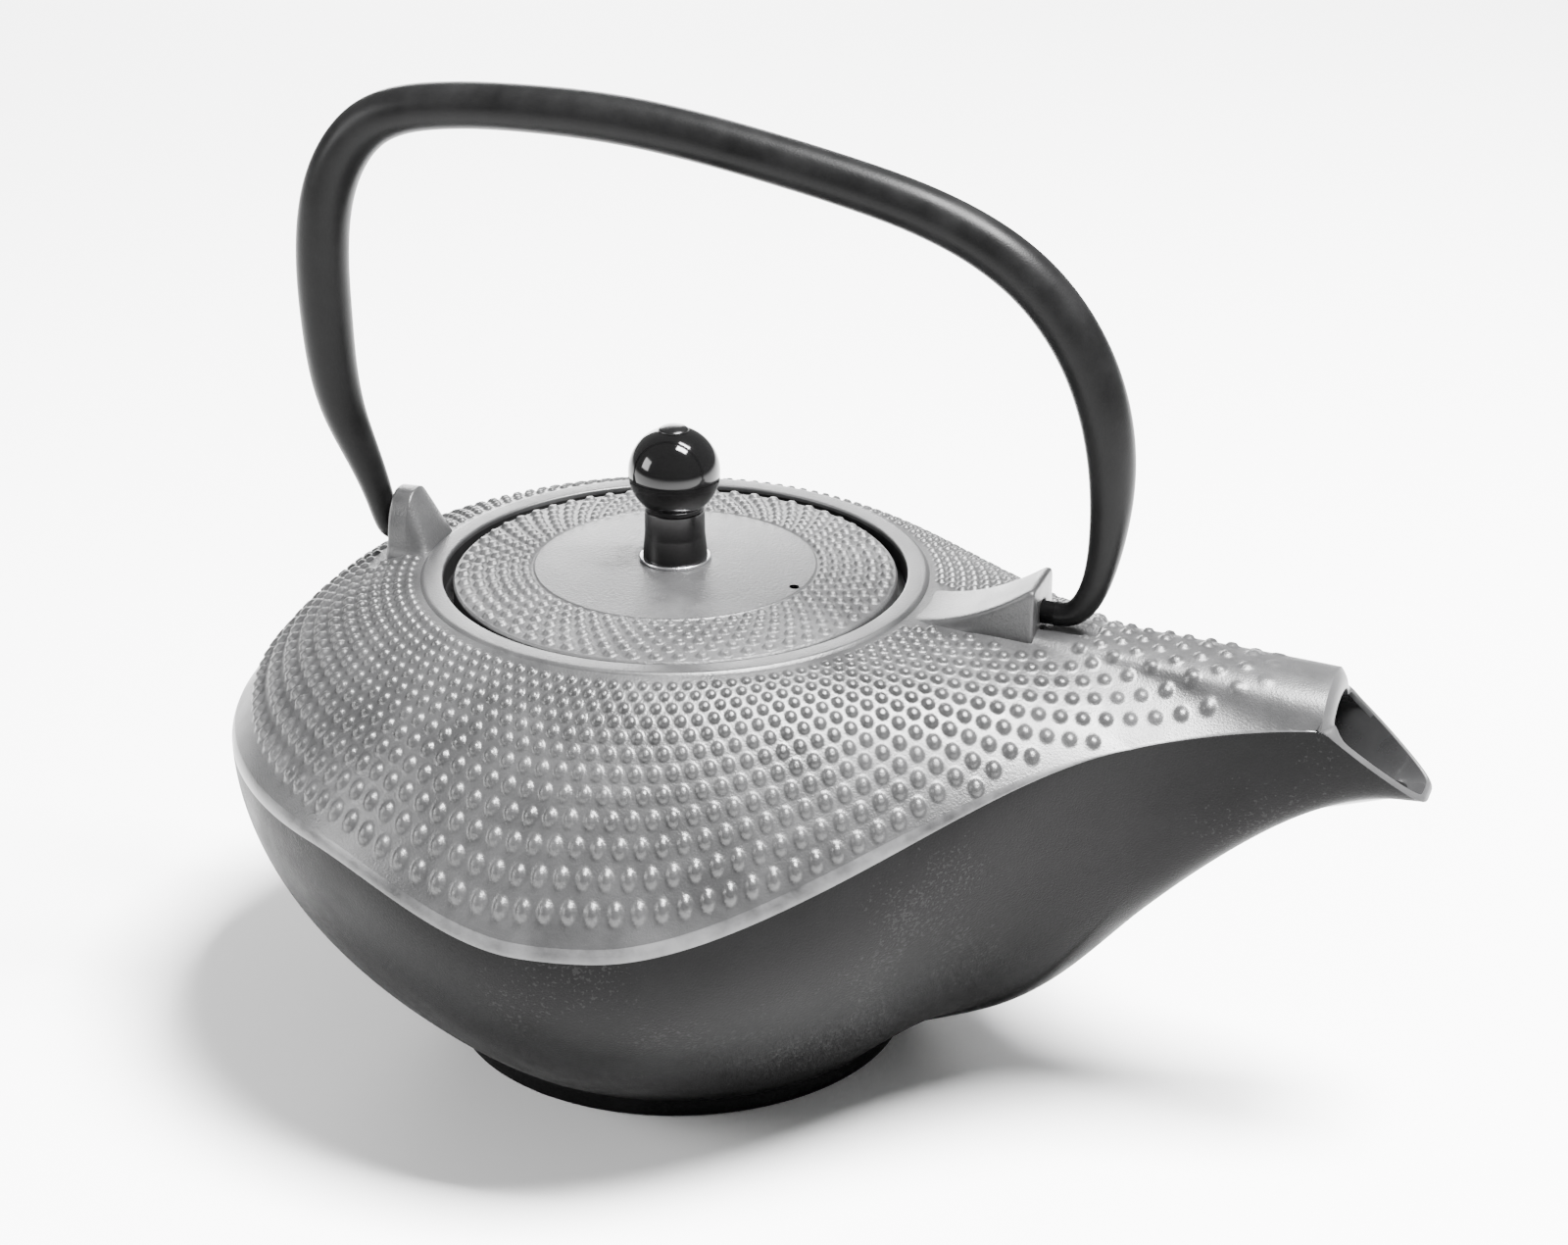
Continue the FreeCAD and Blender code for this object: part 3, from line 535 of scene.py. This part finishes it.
# ------------------------------------------------------------------ bail
BAIL = [
    (-53.6, 88.0, 4.3), (-54.6, 88.25, 4.4), (-55.5, 89.6, 4.6), (-56.5, 92.8, 5.0),
    (-59.5, 101.0, 6.2), (-63.1, 110.0, 7.8), (-65.4, 126.0, 9.2), (-65.3, 142.5, 9.4),
    (-62.4, 154.0, 9.2), (-55.0, 163.4, 8.7), (-42.5, 167.4, 8.2), (-26.0, 168.4, 8.2),
    (-8.0, 167.8, 8.4), (12.0, 164.9, 8.4), (32.0, 160.7, 8.4), (50.5, 155.0, 8.6),
    (63.3, 147.2, 8.9), (71.6, 137.2, 9.0), (76.6, 125.2, 8.8), (78.3, 113.0, 7.8),
    (77.9, 103.6, 6.4), (76.6, 96.0, 5.2), (74.9, 91.4, 4.7), (72.6, 88.7, 4.4),
    (70.6, 88.05, 4.3), (69.3, 88.0, 4.3),
]


def spline(points, per_span):
    """Natural cubic spline through the points, spaced by chord length."""
    p = np.asarray(points, float)
    t = np.concatenate([[0], np.cumsum(np.linalg.norm(np.diff(p[:, :2], axis=0), axis=1))])
    n, h = len(p), np.diff(t)
    A, rhs = np.zeros((n, n)), np.zeros((n, p.shape[1]))
    A[0, 0] = A[-1, -1] = 1.0
    for i in range(1, n - 1):
        A[i, i - 1], A[i, i], A[i, i + 1] = h[i - 1], 2 * (h[i - 1] + h[i]), h[i]
        rhs[i] = 6 * ((p[i + 1] - p[i]) / h[i] - (p[i] - p[i - 1]) / h[i - 1])
    m = np.linalg.solve(A, rhs)
    out = []
    for i in range(n - 1):
        for k in range(per_span):
            a = k / per_span * h[i]
            b = h[i] - a
            out.append((m[i] * b ** 3 + m[i + 1] * a ** 3) / (6 * h[i])
                       + (p[i] / h[i] - m[i] * h[i] / 6) * b + (p[i + 1] / h[i] - m[i + 1] * h[i] / 6) * a)
    out.append(p[-1])
    return np.array(out)


def build_handle():
    line = spline(BAIL, 14)
    xz, dia = line[:, :2], line[:, 2]
    tangent = np.gradient(xz, axis=0)
    tangent[0], tangent[-1] = (-1, 0), (-1, 0)
    for _ in range(6):
        tangent[1:-1] = 0.25 * tangent[:-2] + 0.5 * tangent[1:-1] + 0.25 * tangent[2:]
    tangent /= np.linalg.norm(tangent, axis=1, keepdims=True)
    around = 56
    a = np.arange(around) * TAU / around
    across = np.stack([-tangent[:, 1], tangent[:, 0]], -1)
    rings = []
    z = PIVOT_Z
    for r, x in ((0.0, -48.0), (1.6, -48.0), (2.0, -48.4), (2.0, -53.4)):
        rings.append(np.stack([np.full(around, x), r * np.sin(a), z + r * np.cos(a)], -1))
    for c, n, d in zip(xz, across, dia):
        r = d / 2
        inward = -r * np.cos(a)
        rings.append(np.stack([c[0] + n[0] * inward, r * np.sin(a), c[1] + n[1] * inward], -1))
    for r, x in ((2.0, 69.0), (2.0, 62.4), (1.6, 62.0), (0.0, 62.0)):
        rings.append(np.stack([np.full(around, x), r * np.sin(a), z + r * np.cos(a)], -1))
    pts = np.array(rings)
    obj = mesh_object("bail", pts.reshape(-1, 3), grid_faces(len(rings), around))
    weld(obj, 1e-6)
    return obj


# ------------------------------------------------------------------ lid
LID_AROUND, LID_FIRST, LID_LOG, LID_ROWS = 60, 26.4, 0.0695, 6


def lid_top(r):
    dome = D["lid_dome_radius"]
    return D["lid_crown_z"] - dome + np.sqrt(dome ** 2 - r ** 2)


def lid_studs(turn, r):
    row = np.round(np.log(r / LID_FIRST) / LID_LOG)
    middle = LID_FIRST * np.exp(row * LID_LOG)
    step, shift = TAU / LID_AROUND, 0.5 * (row % 2)
    angle = (np.round(turn / step - shift) + shift) * step
    pitch = middle * step
    d = np.hypot(r - middle, middle * (turn - angle)) / (0.33 * pitch)
    return stud_profile(d) * 0.19 * pitch * ((row >= 0) & (row < LID_ROWS))


def build_lid():
    cols = LID_AROUND * 14
    turn = np.arange(cols) * TAU / cols
    plain, edge_radius = 24.8, D["lid_radius"] - 0.4
    r = np.linspace(plain, edge_radius, 110)
    rr, tt = np.meshgrid(r, turn, indexing="ij")
    groove = 0.3 * np.exp(-((rr - 25.2) / 0.35) ** 2)
    pts = np.stack([rr * np.cos(tt), rr * np.sin(tt), lid_top(rr) + lid_studs(tt, rr) - groove], -1)
    ring = mesh_object("lid_studded_ring", pts.reshape(-1, 3), grid_faces(len(r), cols, flip=True))
    bore, boss = D["bore_radius"], D["boss_z"]
    inner = [(bore, 84.0), (bore, boss), (6.9, boss), (7.3, lid_top(7.3))]
    inner += [(x, lid_top(x)) for x in np.linspace(8.5, plain, 22)]
    centre = lathe("lid_centre", inner, 240, flip=True)
    rim, seat = D["lid_radius"], D["lid_seat_z"]
    out, within, low = D["skirt_outer"], D["skirt_inner"], D["skirt_z"]
    edge = [(edge_radius, lid_top(edge_radius)), (rim, lid_top(rim) - 0.35), (rim, seat + 0.4),
            (edge_radius, seat), (out + 0.2, seat), (out, seat - 0.2), (out, low + 0.4), (out - 0.4, low),
            (within + 0.4, low), (within, low + 0.4), (within, 84.2), (30.2, 84.5), (20.0, 85.3), (7.0, 85.9),
            (D["boss_radius"], D["under_boss_z"]), (bore, D["under_boss_z"])]
    skirt = lathe("lid_edge_and_skirt", rounded(edge, 0.35, 3, closed=False), 240, flip=True)
    return ring, centre, skirt


def bore_vent(plate):
    """Opens the steam hole in the lid's plain centre."""
    wide = D["vent_radius"]
    tool = closed_lathe("vent_cutter", [(0.0, 82.0), (wide, 82.0), (wide, 94.0), (0.0, 94.0)], 0.01, 32)
    tool.location = (D["vent_x"] * MM, D["vent_y"] * MM, 0.0)
    bpy.context.view_layer.update()
    mod = plate.modifiers.new("vent", "BOOLEAN")
    mod.operation, mod.object, mod.solver = "DIFFERENCE", tool, "EXACT"
    bpy.context.view_layer.objects.active = plate
    plate.select_set(True)
    bpy.ops.object.modifier_apply(modifier="vent")
    bpy.data.objects.remove(tool, do_unlink=True)


# ------------------------------------------------------------------ knob
def build_knob():
    bore, ring, foot, top = 2.1, D["collar_radius"], D["stem_foot_radius"], D["stem_top_radius"]
    base, seat, head = D["boss_z"], D["collar_z"], D["stem_top_z"]
    ball_r, ball_z, ball_top = D["ball_radius"], D["ball_z"], D["ball_top_z"]
    collar = closed_lathe("knob_collar_ring", [(bore, base), (ring, base), (ring, seat), (bore, seat)], 0.18)
    stem_points = [(bore, seat), (foot, seat), (5.7, 90.5), (5.35, 94.0), (top, head), (bore, head)]
    stem = closed_lathe("knob_stem_turned", stem_points, 0.2, 160)
    low, high = math.asin(5.95 / ball_r), math.asin((ball_top - ball_z) / ball_r)
    arc = [(ball_r * math.cos(a), ball_z + ball_r * math.sin(a)) for a in np.linspace(-low, high, 56)]
    ball = lathe("knob_ball_turned", [(bore, head), (5.25, head), (5.27, 99.0), (5.4, 99.35)] + arc
                 + [(bore, ball_top), (bore, head)], 160)
    nub = [(0.0, 114.0), (0.8, 113.98), (1.6, 113.85), (2.2, 113.65), (2.6, 113.4), (2.7, 113.2),
           (2.0, 113.15), (2.0, 85.0), (3.4, 84.8), (3.5, 84.5), (3.4, 83.9), (2.9, 83.6), (0.0, 83.6)]
    rivet = lathe("knob_rivet_pin", nub, 96, flip=True)
    return collar, stem, ball, rivet


# ------------------------------------------------------------------ infuser's perforated sheets
def perforated(name, front_at, back_at, cols, rows, hole):
    """Sheet of cells with square holes; the two functions place its two faces from (u, v) in cells."""
    c, r = [g.ravel()[:, None] for g in np.meshgrid(np.arange(cols), np.arange(rows))]
    m = (1.0 - hole) / 2.0
    uv = np.array([(0, 0), (1, 0), (1, 1), (0, 1), (m, m), (1 - m, m), (1 - m, 1 - m), (m, 1 - m)])
    u, v = c + uv[:, 0], r + uv[:, 1]
    pts = np.concatenate([front_at(u, v), back_at(u, v)], 1)
    quads = []
    for k in range(4):
        n = (k + 1) % 4
        quads += [(k, n, 4 + n, 4 + k), (8 + k, 12 + k, 12 + n, 8 + n), (4 + k, 4 + n, 12 + n, 12 + k)]
    faces = (np.array(quads)[None] + 16 * np.arange(len(c))[:, None, None]).reshape(-1, 4)
    return mesh_object(name, pts.reshape(-1, 3), faces.tolist(), smooth_faces=False)


def build_sieve():
    around, up, over = 200, 30, 52
    height, disc = D["collar_low_z"] - D["mesh_low_z"], 34.5

    def wall(radius):
        return lambda u, v: np.stack([radius * np.cos(u * TAU / around), radius * np.sin(u * TAU / around),
                                      D["mesh_low_z"] + height * v / up], -1)

    def base(z):
        def place(u, v):
            s, t = 2 * u / over - 1, 2 * v / over - 1
            return np.stack([disc * s * np.sqrt(1 - t * t / 2), disc * t * np.sqrt(1 - s * s / 2),
                             np.full_like(s, z)], -1)
        return place

    outer, top, hole = D["mesh_outer"], D["floor_top_z"], 0.55
    return (perforated("infuser_wall_perforated", wall(outer), wall(outer - 0.3), around, up, hole),
            perforated("infuser_base_perforated", base(top), base(top - 0.35), over, over, hole))


# ------------------------------------------------------------------ materials
def new_material(name):
    mat = bpy.data.materials.new(name)
    mat.use_nodes = True
    nodes, links = mat.node_tree.nodes, mat.node_tree.links
    return mat, nodes, links, nodes["Principled BSDF"], nodes.new("ShaderNodeTexCoord")


def noise(nodes, links, coord, scale, detail=4.0, rough=0.55):
    n = nodes.new("ShaderNodeTexNoise")
    n.inputs["Scale"].default_value = scale
    n.inputs["Detail"].default_value = detail
    n.inputs["Roughness"].default_value = rough
    links.new(coord.outputs["Object"], n.inputs["Vector"])
    return n


def ramp(nodes, links, source, stops):
    r = nodes.new("ShaderNodeValToRGB")
    for el, (pos, col) in zip(r.color_ramp.elements, stops):
        el.position = pos
        el.color = (*col, 1.0)
    links.new(source, r.inputs["Fac"])
    return r


def grey(v):
    return (v, v, v * 1.02)


def varied_roughness(nodes, links, bsdf, source, low, high):
    shine = nodes.new("ShaderNodeMapRange")
    shine.inputs["From Min"].default_value = 0.3
    shine.inputs["From Max"].default_value = 0.7
    shine.inputs["To Min"].default_value = low
    shine.inputs["To Max"].default_value = high
    links.new(source, shine.inputs["Value"])
    links.new(shine.outputs["Result"], bsdf.inputs["Roughness"])


def cast_iron(name, low, high, rough, sand, sand_scale=2600.0, specular=0.4, specks=0.0):
    """Black coated iron: sandy grain, mottled colour and gloss, and small worn specks."""
    mat, nodes, links, bsdf, coord = new_material(name)
    mottle = noise(nodes, links, coord, 90.0, 5.0, 0.6)
    colour = ramp(nodes, links, mottle.outputs["Fac"], [(0.35, grey(low)), (0.68, grey(high))])
    varied_roughness(nodes, links, bsdf, mottle.outputs["Fac"], rough - 0.06, rough + 0.08)
    out = colour.outputs["Color"]
    if specks:
        dots = noise(nodes, links, coord, 1500.0, 1.0, 0.5)
        patch = noise(nodes, links, coord, 30.0, 2.0, 0.5)
        both = nodes.new("ShaderNodeMath")
        both.operation = "MULTIPLY"
        links.new(dots.outputs["Fac"], both.inputs[0])
        links.new(patch.outputs["Fac"], both.inputs[1])
        pick = ramp(nodes, links, both.outputs[0], [(0.36, (0.0, 0.0, 0.0)), (0.41, (1.0, 1.0, 1.0))])
        mix = nodes.new("ShaderNodeMix")
        mix.data_type = "RGBA"
        links.new(pick.outputs["Color"], mix.inputs["Factor"])
        links.new(out, mix.inputs["A"])
        mix.inputs["B"].default_value = (specks, specks, specks, 1.0)
        out = mix.outputs["Result"]
    links.new(out, bsdf.inputs["Base Color"])
    fine = noise(nodes, links, coord, sand_scale, 3.0, 0.6)
    bump = nodes.new("ShaderNodeBump")
    bump.inputs["Strength"].default_value = sand
    bump.inputs["Distance"].default_value = 0.0002
    links.new(fine.outputs["Fac"], bump.inputs["Height"])
    links.new(bump.outputs["Normal"], bsdf.inputs["Normal"])
    bsdf.inputs["Specular IOR Level"].default_value = specular
    return mat


def glossy(name, base, rough, coat=0.0, metallic=0.0, ripple=0.04, scale=160.0, specular=0.5):
    mat, nodes, links, bsdf, coord = new_material(name)
    cloud = noise(nodes, links, coord, scale, 4.0, 0.5)
    colour = ramp(nodes, links, cloud.outputs["Fac"], [(0.35, grey(base * 0.85)), (0.7, grey(base * 1.15))])
    links.new(colour.outputs["Color"], bsdf.inputs["Base Color"])
    varied_roughness(nodes, links, bsdf, cloud.outputs["Fac"], max(0.02, rough - 0.04), rough + 0.05)
    bump = nodes.new("ShaderNodeBump")
    bump.inputs["Strength"].default_value = ripple
    bump.inputs["Distance"].default_value = 0.0003
    links.new(cloud.outputs["Fac"], bump.inputs["Height"])
    links.new(bump.outputs["Normal"], bsdf.inputs["Normal"])
    bsdf.inputs["Metallic"].default_value = metallic
    bsdf.inputs["Coat Weight"].default_value = coat
    bsdf.inputs["Coat Roughness"].default_value = 0.05
    bsdf.inputs["Specular IOR Level"].default_value = specular
    return mat


IRON_UPPER = cast_iron("iron_studded", 0.016, 0.028, 0.36, sand=0.35, specular=0.50)
# painted shade: the hull and foot get a copy of the iron about six times darker than the studded shell, for
# the shade on the faces turned down
IRON_LOWER_PAINTED_SHADE = cast_iron("iron_smooth_painted_shade", 0.0028, 0.005, 0.42, sand=0.35, specular=0.035, specks=0.010)
# painted highlight: the crease strip's colour runs up to 0.085, far lighter than the studded shell, to paint
# the shine along the crease edge
IRON_EDGE = cast_iron("iron_crease_painted_highlight", 0.016, 0.085, 0.34, sand=0.20, specular=0.45)
IRON_MOUTH = cast_iron("iron_mouth", 0.024, 0.036, 0.40, sand=0.15, specular=0.30)
IRON_LID = cast_iron("iron_lid", 0.022, 0.042, 0.42, sand=0.70, sand_scale=1700.0, specular=0.50)
IRON_BAIL = cast_iron("iron_bail", 0.003, 0.006, 0.34, sand=0.15, specular=0.07)
ENAMEL = glossy("enamel", 0.020, 0.14, coat=0.4)
# painted shade: the ledge seen down the gap round the lid is near-black and dull, darker than the iron and
# the enamel around it
LEDGE_PAINTED_SHADE = glossy("ledge_painted_shade", 0.006, 0.45, specular=0.15)
KNOB_BLACK = glossy("knob_black", 0.003, 0.09, coat=0.05, specular=0.22)
STEM_BLACK = glossy("stem_black", 0.004, 0.22, specular=0.25)
BRIGHT = glossy("bright_ring", 0.6, 0.25, metallic=1.0)
STAINLESS = glossy("stainless", 0.24, 0.36, metallic=1.0, ripple=0.1, scale=900.0)


def finish_piece(obj, body, mat, node):
    obj.data.materials.clear()
    obj.data.materials.append(mat)
    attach(obj, body)
    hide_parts(node)


def paint_node(node, mat):
    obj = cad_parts[node]
    obj.data.materials.clear()
    obj.data.materials.append(mat)


# ------------------------------------------------------------------ assembly
ridge, hull = build_lower()
mouth, channel = build_mouth()
lining_top, lining_bowl = build_lining()
pot_pieces = [(obj, IRON_UPPER) for obj in build_shell()]
pot_pieces += [(ridge, IRON_EDGE), (hull, IRON_LOWER_PAINTED_SHADE), (mouth, IRON_MOUTH), (channel, ENAMEL),
               (lining_top, ENAMEL), (lining_bowl, ENAMEL), (build_rim(), IRON_UPPER),
               (build_ledge(), LEDGE_PAINTED_SHADE), (build_foot(), IRON_LOWER_PAINTED_SHADE)]
ear_front = build_ear("ear_front", 44.5, D["front_ear_x"], D["front_ear_z"], 7.4, 6.5, 14.0, 2.0, 0.97)
ear_rear = build_ear("ear_rear", -44.6, D["rear_ear_x"], 96.2, 6.9, 6.0, 2.6, 0.8, 0.6)
pot_pieces += [(ear_front, IRON_UPPER), (ear_rear, IRON_UPPER)]
for obj, mat in pot_pieces:
    finish_piece(obj, "pot", mat, "body")

finish_piece(build_handle(), "bail", IRON_BAIL, "handle")

lid_ring, lid_centre, lid_skirt = build_lid()
bore_vent(lid_centre)
for obj in (lid_ring, lid_centre, lid_skirt):
    finish_piece(obj, "lid_and_knob", IRON_LID, "lid")

collar, stem, ball, rivet = build_knob()
for obj, node, mat, slot_name in ((collar, "knob_collar", BRIGHT, "bright_steel"),
                                  (stem, "knob_stem", STEM_BLACK, "dark_polished"),
                                  (ball, "knob_ball", KNOB_BLACK, "dark_polished"),
                                  (rivet, "knob_rivet", STEM_BLACK, "dark_polished")):
    finish_piece(obj, "lid_and_knob", mat, node)

sieve_wall, sieve_base = build_sieve()
finish_piece(sieve_wall, "infuser", STAINLESS, "infuser_mesh")
finish_piece(sieve_base, "infuser", STAINLESS, "infuser_floor")

for node in ("knob_washer", "infuser_rim", "infuser_hoop"):
    paint_node(node, STAINLESS)


# ------------------------------------------------------------------ floor and light
def make_stage():
    s = 4000.0
    floor = mesh_object("floor", [(-s, -s, -0.2), (s, -s, -0.2), (s, s, -0.2), (-s, s, -0.2)], [(0, 1, 2, 3)],
                        smooth_faces=False)
    mat, nodes, links, bsdf, coord = new_material("floor_paper")
    cloud = noise(nodes, links, coord, 3.0)
    tone = ramp(nodes, links, cloud.outputs["Fac"], [(0.3, (0.90, 0.90, 0.90)), (0.7, (0.93, 0.93, 0.93))])
    links.new(tone.outputs["Color"], bsdf.inputs["Base Color"])
    bsdf.inputs["Roughness"].default_value = 0.8
    floor.data.materials.append(mat)


def area_light(name, location, target, size, power):
    data = bpy.data.lights.new(name, "AREA")
    data.energy, data.size = power, size
    obj = bpy.data.objects.new(name, data)
    obj.rotation_euler = (Vector(target) - Vector(location)).to_track_quat("-Z", "Y").to_euler()
    obj.location = location
    obj.visible_camera = False
    bpy.context.scene.collection.objects.link(obj)


def make_lights():
    world = bpy.data.worlds.new("studio")
    bpy.context.scene.world = world
    world.use_nodes = True
    world.node_tree.nodes["Background"].inputs["Color"].default_value = (1, 1, 1, 1)
    world.node_tree.nodes["Background"].inputs["Strength"].default_value = 0.45
    area_light("key", (0.36, 0.02, 1.08), (0.0, 0.0, 0.06), 0.42, 150.0)
    area_light("side", (-0.9, -0.5, 0.45), (0.0, 0.0, 0.05), 0.4, 14.0)
    area_light("back", (-0.50, 1.10, 0.30), (0.12, 0.0, 0.07), 0.50, 14.0)


make_stage()
make_lights()
